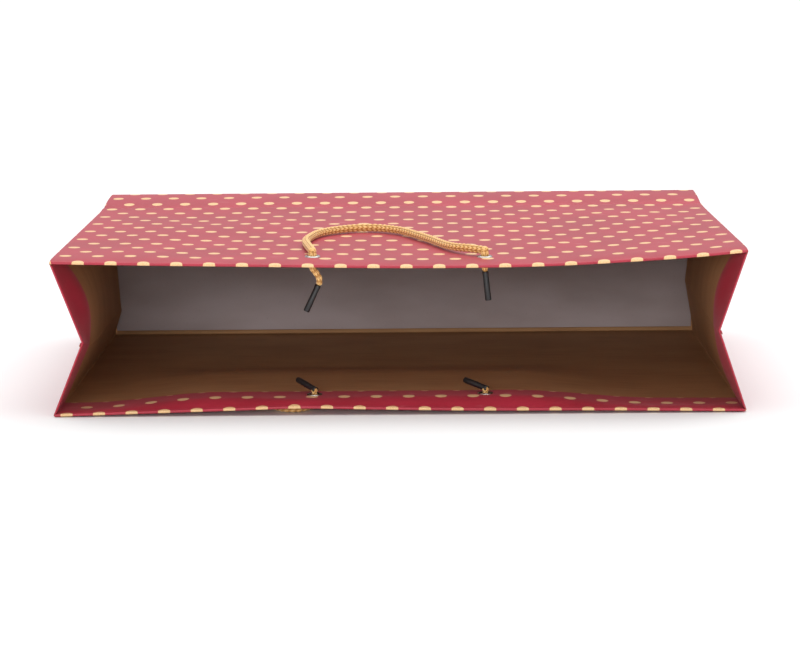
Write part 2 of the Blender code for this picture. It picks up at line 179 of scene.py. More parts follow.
def profile(knots, x):
    """The value at x of a smooth line through (place, value) knots."""
    x = min(max(x, knots[0][0]), knots[-1][0])
    slopes = []
    for k in range(len(knots)):
        before, after = knots[max(k - 1, 0)], knots[min(k + 1, len(knots) - 1)]
        slopes.append((after[1] - before[1]) / (after[0] - before[0]))
    k = 0
    while k < len(knots) - 2 and x > knots[k + 1][0]:
        k += 1
    (x0, a), (x1, b) = knots[k], knots[k + 1]
    span = x1 - x0
    return hermite(a, b, slopes[k] * span, slopes[k + 1] * span, (x - x0) / span)


def smooth_route(points, spacing):
    """Points about this far apart on a smooth curve through the given points."""
    knots = [Vector(p) for p in points]
    fine = []
    for k in range(len(knots) - 1):
        a, b = knots[k], knots[k + 1]
        leave = (b - knots[k - 1]) / 2 if k else b - a
        arrive = (knots[k + 2] - a) / 2 if k < len(knots) - 2 else b - a
        fine += [hermite(a, b, leave, arrive, step / 20) for step in range(20)]
    fine.append(knots[-1])
    lengths = [0.0]
    for a, b in zip(fine, fine[1:]):
        lengths.append(lengths[-1] + (b - a).length)
    count = max(1, round(lengths[-1] / spacing))
    picked, at = [], 0
    for n in range(count + 1):
        goal = lengths[-1] * n / count
        while at < len(fine) - 2 and lengths[at + 1] < goal:
            at += 1
        span = max(lengths[at + 1] - lengths[at], 1e-9)
        picked.append(fine[at].lerp(fine[at + 1], (goal - lengths[at]) / span))
    return picked


def steps(low, high, count):
    return [low + (high - low) * k / count for k in range(count + 1)]


def panel_point(x, v, height):
    """The point this high over the front panel's plane, at v from the mouth."""
    along = PANEL - v
    lean_y, lean_z = math.sin(PANEL_ANGLE), math.cos(PANEL_ANGLE)
    return Vector((
        x, CREASE_Y - along * lean_z - height * lean_y,
        CREASE_Z - along * lean_y + height * lean_z,
    ))


# Nodes for the materials


def new_material(name, roughness, **sockets):
    made = bpy.data.materials.new(name)
    made.use_nodes = True
    shader = made.node_tree.nodes["Principled BSDF"]
    shader.inputs["Roughness"].default_value = roughness
    for label, value in sockets.items():
        shader.inputs[label.replace("_", " ")].default_value = value
    return made, made.node_tree, shader


def node(tree, kind, inputs=None, **settings):
    made = tree.nodes.new("ShaderNode" + kind)
    for label, value in settings.items():
        setattr(made, label, value)
    for label, value in (inputs or {}).items():
        if isinstance(value, bpy.types.NodeSocket):
            tree.links.new(value, made.inputs[label])
        else:
            made.inputs[label].default_value = value
    return made


def maths(tree, operation, a, b=0.0, c=0.0):
    return node(tree, "Math", {0: a, 1: b, 2: c}, operation=operation).outputs[0]


def flat_place(tree):
    """The place on the flat sheet, in metres, as a vector."""
    return node(tree, "UVMap", uv_map="flat").outputs["UV"]


def stretched_noise(tree, place, across, along, detail=3.0):
    """Noise with this many grains to the metre in each direction of the sheet."""
    scaled = node(tree, "VectorMath", {0: place, 1: (across, along, 1.0)}, operation="MULTIPLY")
    grain = node(tree, "TexNoise", {"Vector": scaled.outputs[0], "Scale": 1.0, "Detail": detail})
    return grain.outputs["Fac"]


def ramp(tree, value, low, high, to_low=0.0, to_high=1.0):
    spread = node(
        tree, "MapRange",
        {"Value": value, "From Min": low, "From Max": high, "To Min": to_low, "To Max": to_high},
        interpolation_type="SMOOTHSTEP",
    )
    return spread.outputs["Result"]


def mix(tree, share, a, b):
    made = node(tree, "Mix", {"Factor": share}, data_type="RGBA")
    for label, value in ((6, a), (7, b)):
        if isinstance(value, bpy.types.NodeSocket):
            tree.links.new(value, made.inputs[label])
        else:
            made.inputs[label].default_value = (*value, 1.0)
    return made.outputs[2]


def bump(tree, shader, height, distance, strength=1.0):
    made = node(tree, "Bump", {"Height": height, "Distance": distance, "Strength": strength})
    tree.links.new(made.outputs[0], shader.inputs["Normal"])


def dots(tree, place, phase):
    """1 inside a printed dot, 0 between the dots."""
    parts = node(tree, "SeparateXYZ", {0: place})
    wobble = stretched_noise(tree, place, 700.0, 700.0, 1.0)
    across, along = parts.outputs[0], parts.outputs[1]
    row = maths(tree, "FLOOR", maths(tree, "MULTIPLY_ADD", along, 1.0 / DOT_ROW, 0.5))
    odd = maths(tree, "FLOORED_MODULO", row, 2.0)
    v = maths(tree, "SUBTRACT", along, maths(tree, "MULTIPLY", row, DOT_ROW))
    start = maths(tree, "MULTIPLY_ADD", odd, DOT_PITCH / 2, DOT_PITCH / 2 - phase)
    u = maths(tree, "FLOORED_MODULO", maths(tree, "ADD", across, start), DOT_PITCH)
    u = maths(tree, "SUBTRACT", u, DOT_PITCH / 2)
    squares = maths(tree, "MULTIPLY_ADD", v, v, maths(tree, "MULTIPLY", u, u))
    distance = maths(tree, "SQRT", squares)
    distance = maths(tree, "MULTIPLY_ADD", wobble, 0.0004, distance)
    return ramp(tree, distance, DOT_RADIUS + 0.0001, DOT_RADIUS + 0.0003, 1.0, 0.0)


def printed_paper(name, phase=None):
    """Red printed paper, with cream dots where a phase says how far they are moved in X."""
    made, tree, shader = new_material(
        name, 0.46, Specular_IOR_Level=0.55, Sheen_Weight=0.06, Sheen_Roughness=0.4,
    )
    place = flat_place(tree)
    cloud = stretched_noise(tree, place, 22.0, 22.0, 4.0)
    fibre = stretched_noise(tree, place, 1500.0, 900.0, 2.0)
    colour = mix(tree, ramp(tree, cloud, 0.35, 0.65), (0.37, 0.010, 0.030), (0.43, 0.014, 0.040))
    colour = mix(tree, ramp(tree, fibre, 0.3, 0.8, 0.0, 0.25), colour, (0.52, 0.05, 0.08))
    if phase is not None:
        cream = mix(tree, ramp(tree, fibre, 0.3, 0.7), (0.76, 0.46, 0.20), (0.86, 0.58, 0.30))
        colour = mix(tree, dots(tree, place, phase), colour, cream)
    scuff = stretched_noise(tree, place, 60.0, 140.0, 6.0)
    worn = maths(tree, "MULTIPLY", ramp(tree, scuff, 0.60, 0.72), ramp(tree, cloud, 0.45, 0.62))
    colour = mix(tree, maths(tree, "MULTIPLY", worn, 0.14), colour, (0.80, 0.42, 0.42))
    tree.links.new(colour, shader.inputs["Base Color"])
    tree.links.new(ramp(tree, cloud, 0.3, 0.7, 0.44, 0.48), shader.inputs["Roughness"])
    bump(tree, shader, fibre, 0.00003, 0.6)
    return made


def kraft():
    """The paper's unprinted side: brown, with the fine ribs that run across the bag."""
    made, tree, shader = new_material("kraft", 0.75, Specular_IOR_Level=0.25)
    place = flat_place(tree)
    ribs = stretched_noise(tree, place, 25.0, 900.0, 2.0)
    cloud = stretched_noise(tree, place, 18.0, 30.0, 4.0)
    flecks = stretched_noise(tree, place, 900.0, 1600.0, 2.0)
    colour = mix(tree, ramp(tree, ribs, 0.3, 0.7), (0.38, 0.190, 0.084), (0.47, 0.250, 0.115))
    colour = mix(tree, ramp(tree, cloud, 0.3, 0.7, 0.0, 0.5), colour, (0.52, 0.29, 0.135))
    colour = mix(tree, ramp(tree, flecks, 0.66, 0.74, 0.0, 0.6), colour, (0.14, 0.07, 0.03))
    tree.links.new(colour, shader.inputs["Base Color"])
    bump(tree, shader, maths(tree, "MULTIPLY_ADD", flecks, 0.3, ribs), 0.00008, 0.7)
    return made


def grey_board():
    """The loose card over the base: grey board with a slight lilac cast."""
    made, tree, shader = new_material("grey_board", 0.8, Specular_IOR_Level=0.2)
    place = flat_place(tree)
    pulp = stretched_noise(tree, place, 700.0, 700.0, 3.0)
    cloud = stretched_noise(tree, place, 12.0, 30.0, 3.0)
    colour = mix(tree, ramp(tree, cloud, 0.3, 0.7), (0.42, 0.350, 0.345), (0.50, 0.43, 0.435))
    colour = mix(tree, ramp(tree, pulp, 0.62, 0.78, 0.0, 0.5), colour, (0.30, 0.25, 0.26))
    tree.links.new(colour, shader.inputs["Base Color"])
    bump(tree, shader, pulp, 0.00006, 0.5)
    return made


def knitted_yarn():
    """Golden yarn with twisted fibres along each strand, darker between the stitches as painted
    shade and paler on their tops as a painted highlight.
    """
    made, tree, shader = new_material("knitted_yarn", 0.55, Sheen_Weight=0.35, Sheen_Roughness=0.4)
    relief = node(tree, "Attribute", attribute_name="relief").outputs["Fac"]
    place = flat_place(tree)
    strands = stretched_noise(tree, place, 2600.0, 700.0, 2.0)
    # painted shade: the colour runs to dark brown where the stitch relief is low, between the
    # stitches
    colour = mix(tree, ramp(tree, relief, 0.25, 0.80), (0.46, 0.190, 0.035), (0.90, 0.53, 0.17))
    # painted highlight: the stitches' highest parts are mixed towards pale gold, broken up by the
    # fibres
    painted_highlight = maths(tree, "MULTIPLY", ramp(tree, relief, 0.6, 1.0), ramp(tree, strands, 0.35, 0.65))
    colour = mix(tree, painted_highlight, colour, (1.0, 0.74, 0.36))
    tree.links.new(colour, shader.inputs["Base Color"])
    bump(tree, shader, strands, 0.00012, 0.8)
    return made


def nickel():
    made, tree, shader = new_material("nickel", 0.28, Metallic=1.0)
    place = node(tree, "TexCoord").outputs["Object"]
    worn = node(tree, "TexNoise", {"Vector": place, "Scale": 900.0, "Detail": 3.0}).outputs["Fac"]
    colour = mix(tree, ramp(tree, worn, 0.35, 0.65), (0.42, 0.40, 0.37), (0.60, 0.58, 0.54))
    tree.links.new(colour, shader.inputs["Base Color"])
    tree.links.new(ramp(tree, worn, 0.3, 0.7, 0.22, 0.40), shader.inputs["Roughness"])
    bump(tree, shader, worn, 0.00002, 0.5)
    return made


def black_plastic():
    made, tree, shader = new_material("black_plastic", 0.38)
    place = node(tree, "TexCoord").outputs["Object"]
    marks = node(tree, "TexNoise", {"Vector": place, "Scale": 1400.0, "Detail": 2.0}).outputs["Fac"]
    colour = mix(tree, ramp(tree, marks, 0.4, 0.7), (0.010, 0.010, 0.011), (0.022, 0.021, 0.021))
    tree.links.new(colour, shader.inputs["Base Color"])
    tree.links.new(ramp(tree, marks, 0.3, 0.7, 0.32, 0.48), shader.inputs["Roughness"])
    bump(tree, shader, marks, 0.00002, 0.4)
    return made


# Meshes


def add_mesh(name, verts, faces, materials, slots=None, flat=None):
    """A mesh object; slots gives each face's material and flat each corner's place."""
    mesh = bpy.data.meshes.new(name)
    mesh.from_pydata(verts, [], faces)
    for looks in materials:
        mesh.materials.append(looks)
    if slots:
        mesh.polygons.foreach_set("material_index", slots)
    if flat:
        layer = mesh.uv_layers.new(name="flat")
        layer.uv.foreach_set("vector", [value for place in flat for value in place])
    mesh.shade_smooth()
    mesh.set_sharp_from_angle(angle=math.radians(50))
    made = bpy.data.objects.new(name, mesh)
    bpy.context.scene.collection.objects.link(made)
    return made


def paper(name, grid, flat, outside, inside, thick=PAPER):
    """A sheet with its outer face on a grid of points, and its thickness behind them.

    The grid's rows and columns turn the outer face's normal to row x column. flat holds
    each point's place on the flat sheet.
    """
    last_j, last_i = len(grid) - 1, len(grid[0]) - 1
    width = last_i + 1
    back = (last_j + 1) * width
    verts = [point for row in grid for point in row]
    for j, row in enumerate(grid):
        for i, point in enumerate(row):
            along_i = row[min(i + 1, last_i)] - row[max(i - 1, 0)]
            along_j = grid[min(j + 1, last_j)][i] - grid[max(j - 1, 0)][i]
            verts.append(point - along_j.cross(along_i).normalized() * thick)
    faces, slots, corners = [], [], []

    def face(indices, slot):
        faces.append(indices)
        slots.append(slot)
        for k in indices:
            k %= back
            corners.append(flat[k // width][k % width])

    for j in range(last_j):
        for i in range(last_i):
            a, b = j * width + i, j * width + i + 1
            c, d = b + width, a + width
            face((a, d, c, b), 0)
            face((back + a, back + b, back + c, back + d), 1)
    rim = [i for i in range(last_i)] + [j * width + last_i for j in range(last_j)]
    rim += [last_j * width + i for i in range(last_i, 0, -1)]
    rim += [j * width for j in range(last_j, 0, -1)]
    for k, m in zip(rim, rim[1:] + rim[:1]):
        face((k, m, back + m, back + k), 1)
    return add_mesh(name, verts, faces, (outside, inside), slots, corners)


def punch(sheet, centres, radius):
    """Cuts round holes straight down through a sheet."""
    verts, faces, sides = [], [], 32
    for x, y in centres:
        first = len(verts)
        for z in (-0.05, 0.15):
            for k in range(sides):
                turn = 2 * math.pi * k / sides
                verts.append((x + radius * math.cos(turn), y + radius * math.sin(turn), z))
        for k in range(sides):
            m = (k + 1) % sides
            faces.append((first + k, first + m, first + sides + m, first + sides + k))
        faces.append(tuple(first + k for k in reversed(range(sides))))
        faces.append(tuple(first + sides + k for k in range(sides)))
    cutter = add_mesh(sheet.name + "_punch", verts, faces, ())
    cut = sheet.modifiers.new("punch", "BOOLEAN")
    cut.operation = "DIFFERENCE"
    cut.solver = "EXACT"
    cut.object = cutter
    apply_modifiers(sheet)
    bpy.data.objects.remove(cutter, do_unlink=True)


def punch_for_eyelets(sheet, y):
    punch(sheet, [(x, y) for x in (-EYELET_X, EYELET_X)], HOLE_RADIUS)


def apply_modifiers(piece):
    bpy.context.view_layer.update()
    shown = piece.evaluated_get(bpy.context.evaluated_depsgraph_get())
    mesh = bpy.data.meshes.new_from_object(shown)
    piece.modifiers.clear()
    piece.data = mesh


def frames_along(route):
    """At each point of a route its tangent and two directions across it, without twist."""
    tangents = []
    for k in range(len(route)):
        step = route[min(k + 1, len(route) - 1)] - route[max(k - 1, 0)]
        tangents.append(step.normalized())
    side = tangents[0].orthogonal().normalized()
    frames = []
    for tangent in tangents:
        side = (side - tangent * side.dot(tangent)).normalized()
        frames.append((tangent, side, tangent.cross(side)))
    return frames


def stitches(turn, along):
    """How far the knitted surface stands out, 0 to 1: V-shaped stitches in columns."""
    column = turn * COLUMNS / (2 * math.pi)
    leg = abs(2 * (column % 1.0) - 1.0)
    strand = 1.0 - (2 * leg - 1.0) ** 2
    row = along / STITCH + 0.60 * leg
    ridge = abs(math.sin(math.pi * row))
    return max(strand, 0.0) ** 0.35 * (0.10 + 0.90 * ridge**0.8)


def knitted(name, points, width, looks, gripped=0.0):
    """A knitted cord with rounded ends along a smooth route through the points.

    The last part of it, of the gripped length, is squeezed thinner.
    """
    route = smooth_route(points, KNIT_SPACING)
    frames = frames_along(route)
    verts, relief, place = [], [], []
    cap = width / 2
    total = sum((b - a).length for a, b in zip(route, route[1:]))
    rings = []
    along = 0.0
    for k, (centre, (tangent, side, over)) in enumerate(zip(route, frames)):
        if k:
            along += (centre - route[k - 1]).length
        if k == 0:
            for lean in (75, 50, 25):
                rings.append((centre, tangent, side, over, -math.radians(lean), along))
        rings.append((centre, tangent, side, over, 0.0, along))
        if k == len(route) - 1:
            for lean in (25, 50, 75):
                rings.append((centre, tangent, side, over, math.radians(lean), along))
    for centre, tangent, side, over, lean, at in rings:
        squeeze = 1.0
        if gripped:
            squeeze -= GRIP_SQUEEZE * smooth_step((at - total + gripped + GRIP_RUN) / GRIP_RUN)
        for step in range(KNIT_SIDES):
            turn = 2 * math.pi * step / KNIT_SIDES
            out = stitches(turn, at + cap * math.sin(lean))
            radius = width / 2 * (0.76 + 0.28 * out) * squeeze
            direction = side * math.cos(turn) + over * math.sin(turn)
            point = centre + direction * radius * math.cos(lean)
            verts.append(point + tangent * radius * math.sin(lean))
            relief.append(out)
            place.append((turn * width / 2, at))
    faces = []
    for ring in range(len(rings) - 1):
        for step in range(KNIT_SIDES):
            first = ring * KNIT_SIDES
            a, b = first + step, first + (step + 1) % KNIT_SIDES
            faces.append((a, b, b + KNIT_SIDES, a + KNIT_SIDES))
    faces.append(tuple(reversed(range(KNIT_SIDES))))
    faces.append(tuple(range(len(verts) - KNIT_SIDES, len(verts))))
    flat = [place[k] for face in faces for k in face]
    made = add_mesh(name, verts, faces, (looks,), None, flat)
    # the stitch relief, which the yarn's material also turns into painted shade between the
    # stitches and a painted highlight on their tops
    values = made.data.attributes.new("relief", "FLOAT", "POINT")
    values.data.foreach_set("value", relief)
    made.data.set_sharp_from_angle(angle=math.pi)
    return made, route


def turned(name, outline, place, axis, looks):
    """A ring turned about an axis; the outline is a closed loop of (radius, height)."""
    sides = 40
    frame_up = Vector(axis).normalized()
    side = frame_up.orthogonal().normalized()
    over = frame_up.cross(side)
    verts, faces, count = [], [], len(outline)
    for k in range(sides):
        turn = 2 * math.pi * k / sides
        out = side * math.cos(turn) + over * math.sin(turn)
        verts += [Vector(place) + out * radius + frame_up * height for radius, height in outline]
    for k in range(sides):
        following = (k + 1) % sides
        for j in range(count):
            m = (j + 1) % count
            faces.append((
                k * count + j, following * count + j, following * count + m, k * count + m
            ))
    return add_mesh(name, verts, faces, (looks,))


# Camera and cords


def make_camera():
    made = bpy.data.objects.new("camera", bpy.data.cameras.new("camera"))
    bpy.context.scene.collection.objects.link(made)
    made.data.lens = CAMERA_LENS
    made.data.sensor_width = 36.0
    made.data.clip_end = 60.0
    pitch, yaw, roll = CAMERA_PITCH, CAMERA_YAW, CAMERA_ROLL
    look = Vector((
        math.sin(yaw) * math.cos(pitch), math.cos(yaw) * math.cos(pitch), -math.sin(pitch)
    ))
    level = Vector((math.cos(yaw), -math.sin(yaw), 0.0))
    upright = level.cross(look)
    right = level * math.cos(roll) + upright * math.sin(roll)
    up = upright * math.cos(roll) - level * math.sin(roll)
    turned_to = Matrix((right, up, -look)).transposed()
    made.matrix_world = Matrix.Translation(CAMERA_PLACE) @ turned_to.to_4x4()
    bpy.context.scene.camera = made


def loop(name, body, points, looks):
    """A free length of handle cord."""
    made, route = knitted(name, points, CORD, looks)
    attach(made, body)
    return made


def tip_end(word, looks, plastic):
    """The cord's stub inside the bag and the plastic tip on its end."""
    place, lean, stub_points = TIPS[word]
    turn = Matrix.Identity(3)
    if word.startswith("front"):
        turn = Matrix.Rotation(PANEL_ANGLE, 3, "X")
    start = Vector(place)
    along = (turn @ Vector(lean)).normalized()
    route = [start + turn @ Vector(point) for point in stub_points]
    end = route[-1]
    route = [start] + route + [end + along * GRIP]
    stub, _ = knitted(f"{word}_stub", route, STUB_WIDTH, looks, GRIP)
    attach(stub, f"{word}_tip")
    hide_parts(f"{word}_cord_end")
    tip = plastic_tip(f"{word}_plastic_tip", end, along, plastic)
    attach(tip, f"{word}_tip")
    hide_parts(f"{word}_tip")
    return [stub, tip]


def plastic_tip(name, start, along, looks):
    """A thin-walled tube, closed inside and pinched a little where it grips the cord."""
    sides = 32
    side = along.orthogonal().normalized()
    over = along.cross(side)
    outer, wall = TIP_WIDTH / 2, 0.00045
    outline = [
        (outer - wall, 0.0012), (outer - wall, 0.0001), (outer - wall / 2, 0.0),
        (outer, 0.0002), (outer, 0.0012), (outer * 0.94, 0.0030), (outer * 0.93, 0.0045),
        (outer * 0.97, 0.0065), (outer, 0.0090), (outer, TIP_LENGTH - 0.0004),
        (outer - wall / 2, TIP_LENGTH), (outer - wall, TIP_LENGTH - 0.0002),
        (outer - wall * 1.2, TIP_LENGTH - 0.0040), (0.0002, TIP_LENGTH - 0.0042),
    ]
    verts, faces = [], []
    for step in range(sides):
        turn = 2 * math.pi * step / sides
        out = side * math.cos(turn) + over * math.sin(turn)
        squash = 1.0 - 0.05 * math.cos(turn) ** 2
        verts += [start + out * radius * squash + along * at for radius, at in outline]
    count = len(outline)
    for step in range(sides):
        following = (step + 1) % sides
        for j in range(count - 1):
            faces.append((
                step * count + j, following * count + j,
                following * count + j + 1, step * count + j + 1,
            ))
    faces.append(tuple(step * count for step in range(sides)))
    faces.append(tuple(step * count + count - 1 for step in reversed(range(sides))))
    return add_mesh(name, verts, faces, (looks,))


def post(word, body, inside, outside, looks):
    """The cord standing in an eyelet, rounded at both ends to meet the stub and the loop."""
    made, _ = knitted(f"{word}_cord_in_eyelet", [inside, outside], CORD * 0.98, looks)
    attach(made, body)
    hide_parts(f"{word}_cord_through")
    return made


def make_cords(yarn, plastic):
    ends = {word: tip_end(word, yarn, plastic) for word in TIPS}
    for word, x in (("left", -EYELET_X), ("right", EYELET_X)):
        inside = Vector(TIPS[f"front_{word}"][0])
        outside = panel_point(x, EYELET_V, AXIS_OVER_PAPER)
        ends[f"front_{word}"].append(
            post(f"front_{word}", "front_panel", inside, outside, yarn)
        )
        inside = Vector(TIPS[f"back_{word}"][0]) - Vector((0.0, 0.0, 0.0040))
        outside = Vector((x, MOUTH_Y + EYELET_V, BACK_AXIS_Z))
        ends[f"back_{word}"].append(post(f"back_{word}", "root", inside, outside, yarn))
    front = [panel_point(x, v, AXIS_OVER_PAPER + h) for x, v, h in FRONT_ROUTE]
    made = loop("front_handle_loop", "front_handle", front, yarn)
    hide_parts("front_handle_cord")
    back = [(x, MOUTH_Y + v, BACK_AXIS_Z + h) for x, v, h in BACK_ROUTE]
    made = loop("back_handle_loop", "back_handle", back, yarn)
    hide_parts("back_handle_cord")
    bight = [(x, MOUTH_Y + v, BACK_AXIS_Z + h) for x, v, h in BIGHT_ROUTE]
    made = loop("back_handle_bight", "root", bight, yarn)
    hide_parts("back_cord_bight")


# The walls: one sheet each, from the inner edge of its hem, round the mouth fold, to the base

BACK_PHASE = -0.0042  # how far the dots are moved in X on each wall
FRONT_PHASE = 0.0047
BASE_RADIUS = 0.0014
BACK_FLAP_Y = 0.1504
BACK_FLAP_HEIGHT = 0.0620
FRONT_FLAP_Y = 0.1512
FRONT_FLAP_RADIUS = FRONT_FLAP_Y - BASE_Y
FRONT_FLAP_BOTTOM = 0.0300
CORNER_V = BACK_FLAP_Y - BASE_RADIUS - MOUTH_Y
HALF_TURN = math.pi / 2


def mouth_fold(s, radius, stack):
    """At s along the paper from the mouth fold: how far from the mouth, and how deep inside.

    The fold is tight, and the hem's layers open from it to the stack's full thickness.
    """
    bend = min(max(s / radius, -HALF_TURN), HALF_TURN)
    v = radius * (1 - math.cos(bend)) + max(0.0, abs(s) - radius * HALF_TURN)
    swell = (stack - 2 * radius) * smooth_step((v - radius) / HEM_SWELL)
    return v, radius * (1 - math.sin(bend)) + (swell if s < 0 else 0.0)


def side_round(x):
    """How far a wall has turned towards its gusset at x."""
    past = max(0.0, abs(x) - (HALF - SIDE_RADIUS))
    return SIDE_RADIUS - math.sqrt(max(SIDE_RADIUS**2 - past**2, 0.0))


def across():
    """Lines across the bag, closer together round the side folds."""
    flat = HALF - SIDE_RADIUS
    turn = [flat + SIDE_RADIUS * math.sin(HALF_TURN * k / 5) for k in range(1, 6)]
    return [-x for x in reversed(turn)] + steps(-flat, flat, 96) + turn


def hump(value, centre, width):
    """1 at the centre, falling to nothing about twice the width away."""
    return math.exp(-(((value - centre) / width) ** 2))


def wave(x, v, seed, size):
    """A gentle unevenness of the paper, a few centimetres across."""
    return noise.noise((x / 0.055 + seed, v / 0.060, seed)) * size


def bulge(x, v):
    left = smooth_step((x - BULGE_X[0]) / (BULGE_X[1] - BULGE_X[0]))
    right = smooth_step((BULGE_X[3] - x) / (BULGE_X[3] - BULGE_X[2]))
    back = smooth_step((BULGE_END[1] - v) / (BULGE_END[1] - BULGE_END[0]))
    height = BULGE_AT_MOUTH + (BULGE - BULGE_AT_MOUTH) * smooth_step((v - 0.025) / 0.025)
    return height * left * right * back


def back_lift(x, v):
    """The height of the back panel's outer face over the table."""
    reach = 0.018 - 0.010 * hump(x, -0.060, 0.018)
    inside = smooth_step(v / reach)
    ripple = 0.0005 * hump(x, 0.125, 0.045) * hump(v, 0.04, 0.03)
    return profile(LOWER_EDGE, x) * (1 - inside) + bulge(x, v) * inside + ripple


def back_point(x0, s):
    v, depth = mouth_fold(s, FOLD_RADIUS, HEM_STACK)
    inner = min(1.0, depth / (2 * FOLD_RADIUS))
    x = x0 * (1 - HEM_INSET / HALF * inner)
    past = v - CORNER_V
    if past > 0:
        bend = min(past / BASE_RADIUS, HALF_TURN)
        y = MOUTH_Y + CORNER_V + BASE_RADIUS * math.sin(bend) - side_round(x0)
        z = BASE_RADIUS * (1 - math.cos(bend)) + max(0.0, past - BASE_RADIUS * HALF_TURN)
        return Vector((x, y, z))
    return Vector((x, MOUTH_Y + v, back_lift(x, v) + depth + side_round(x0) * (1 - inner)))


def away_from_sides(x):
    """From 0 at a side fold to 1 a little way in."""
    return smooth_step((HALF - abs(x)) / 0.015)


def front_height(x, v):
    """How far the front panel's outer face stands over its own plane."""
    edge = profile(UPPER_EDGE, x) + HEM_STACK - PANEL_MOUTH_Z
    to_crease = PANEL - v
    middle = min(1.0, (HALF - abs(x)) / 0.04)
    drop = 0.0028 + CREASE_DROP * away_from_sides(x)
    ridge = 0.0012 * math.exp(-to_crease / 0.007) - drop * math.exp(-to_crease / 0.0009)
    fade = smooth_step(to_crease / 0.05) * smooth_step(v / 0.02) * middle
    clear = 1 - hump(x, 0.0, 0.075)
    dip = 0.0012 * math.exp(-v / 0.004)
    sag = 2.0 - smooth_step((abs(x) - 0.08) / 0.08)
    return edge * (1 - v / PANEL) ** sag + ridge - dip + wave(x, v, 3.0, 0.0009) * fade * clear


def front_point(x0, s):
    v, depth = mouth_fold(s, FOLD_RADIUS, HEM_STACK)
    inner = min(1.0, depth / (2 * FOLD_RADIUS))
    x = x0 * (1 - HEM_INSET / HALF * inner)
    turned_in = side_round(x0) * (1 - inner)
    return panel_point(x, v, front_height(x, v) - depth - turned_in)


def strip_point(x0, t):
    """The strip beside the base; t goes from 0 at the crease to 1 at the base."""
    crown = (0.0008 + wave(x0, t * 0.05, 9.0, 0.0003)) * math.sin(math.pi * t)
    drop = 0.0016 + CREASE_DROP * away_from_sides(x0)
    crown -= drop * math.exp(-t / 0.05)
    y = CREASE_Y + (BASE_Y - CREASE_Y) * t
    z = CREASE_Z + (TOP_Z - CREASE_Z) * t
    return Vector((x0, y, z + crown - side_round(x0)))


def hem_rows():
    arc = FOLD_RADIUS * HALF_TURN
    return steps(-HEM, -0.006, 10) + steps(-0.0045, -arc, 3) + steps(-arc, arc, 14)[1:-1] + [arc]


def make_back_wall(printed, brown):
    rows = hem_rows() + [0.003, 0.005, 0.008] + steps(0.011, CORNER_V - 0.002, 90)
    arc = BASE_RADIUS * HALF_TURN
    start = CORNER_V + FOLD_RADIUS * (HALF_TURN - 1)
    rows += steps(start, start + arc, 6)
    rows += steps(start + arc + 0.003, start + BACK_FLAP_HEIGHT, 12)
    lines = across()
    grid = [[back_point(x, s) for x in lines] for s in rows]
    flat = [[(point.x, s) for point in row] for row, s in zip(grid, rows)]
    wall = paper("back_wall", grid, flat, printed, brown)
    punch_for_eyelets(wall, MOUTH_Y + EYELET_V)
    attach(wall, "root")
    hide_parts("back_panel", "back_hem", "base_flap_back")


def make_front_wall(printed, brown):
    end = PANEL + FOLD_RADIUS * (HALF_TURN - 1)
    rows = hem_rows() + [0.003, 0.005, 0.008] + steps(0.011, end - 0.012, 70)
    rows += steps(end - 0.009, end - 0.002, 5) + steps(end - 0.0014, end, 4)
    lines = list(reversed(across()))
    grid = [[front_point(x, s) for x in lines] for s in rows]
    flat = [[(point.x, s) for point in row] for row, s in zip(grid, rows)]
    wall = paper("front_wall", grid, flat, printed, brown)
    punch_for_eyelets(wall, panel_point(0.0, EYELET_V, 0.0).y)
    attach(wall, "front_panel")
    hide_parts("front_panel", "front_hem")
    return end


def make_strip(printed, brown, start):
    lines = list(reversed(across()))
    rows = steps(0.0, 0.12, 8) + steps(0.16, 1.0, 17)
    length = math.hypot(BASE_Y - CREASE_Y, TOP_Z - CREASE_Z)
    grid = [[strip_point(x, t) for x in lines] for t in rows]
    flat = [[(x, start + t * length) for x in lines] for t in rows]
    strip = paper("front_strip_paper", grid, flat, printed, brown)
    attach(strip, "front_strip")
    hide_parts("front_base_strip")
    make_front_flap(printed, brown, start + length)


def make_front_flap(printed, brown, start):
    """From the base's front edge down over the other flaps."""
    lines = list(reversed(across()))
    radius = FRONT_FLAP_RADIUS
    arc = radius * HALF_TURN
    drop = TOP_Z - radius - FRONT_FLAP_BOTTOM
    rows = steps(0.0, arc, 8) + steps(arc + 0.003, arc + drop, 14)
    grid = []
    for s in rows:
        bend = min(s / radius, HALF_TURN)
        y = BASE_Y + radius * math.sin(bend)
        z = TOP_Z - radius * (1 - math.cos(bend)) - max(0.0, s - arc)
        grid.append([
            Vector((x, y - side_round(x) * math.sin(bend), z - side_round(x) * math.cos(bend)))
            for x in lines
        ])
    flat = [[(x, start + s) for x in lines] for s in rows]
    flap = paper("front_flap", grid, flat, printed, brown)
    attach(flap, "root")
    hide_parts("base_flap_front")


def make_hem_cards(board):
    """The strips of board inside the two hems."""
    lines = steps(-HALF + HEM_INSET, HALF - HEM_INSET, 80)
    rows = steps(HEM_CARD_START, HEM_CARD, 12)
    flat = [[(x, v) for x in lines] for v in rows]
    low = PAPER + 0.0002
    grid = [[Vector((x, MOUTH_Y + v, back_lift(x, v) + low)) for x in lines] for v in rows]
    back = paper("back_hem_board", grid, flat, board, board, HEM_CARD_THICK)
    punch_for_eyelets(back, MOUTH_Y + EYELET_V)
    lines.reverse()
    flat = [[(x, v) for x in lines] for v in rows]
    grid = [[panel_point(x, v, front_height(x, v) - low) for x in lines] for v in rows]
    front = paper("front_hem_board", grid, flat, board, board, HEM_CARD_THICK)
    punch_for_eyelets(front, panel_point(0.0, EYELET_V, 0.0).y)
    for made, body, cad in (
        (back, "root", "back_hem_card"), (front, "front_panel", "front_hem_card")
    ):
        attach(made, body)
        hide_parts(cad)


# The gussets

LEFT, RIGHT = -1, 1
GUSSET_FOLD_RADIUS = 0.0006
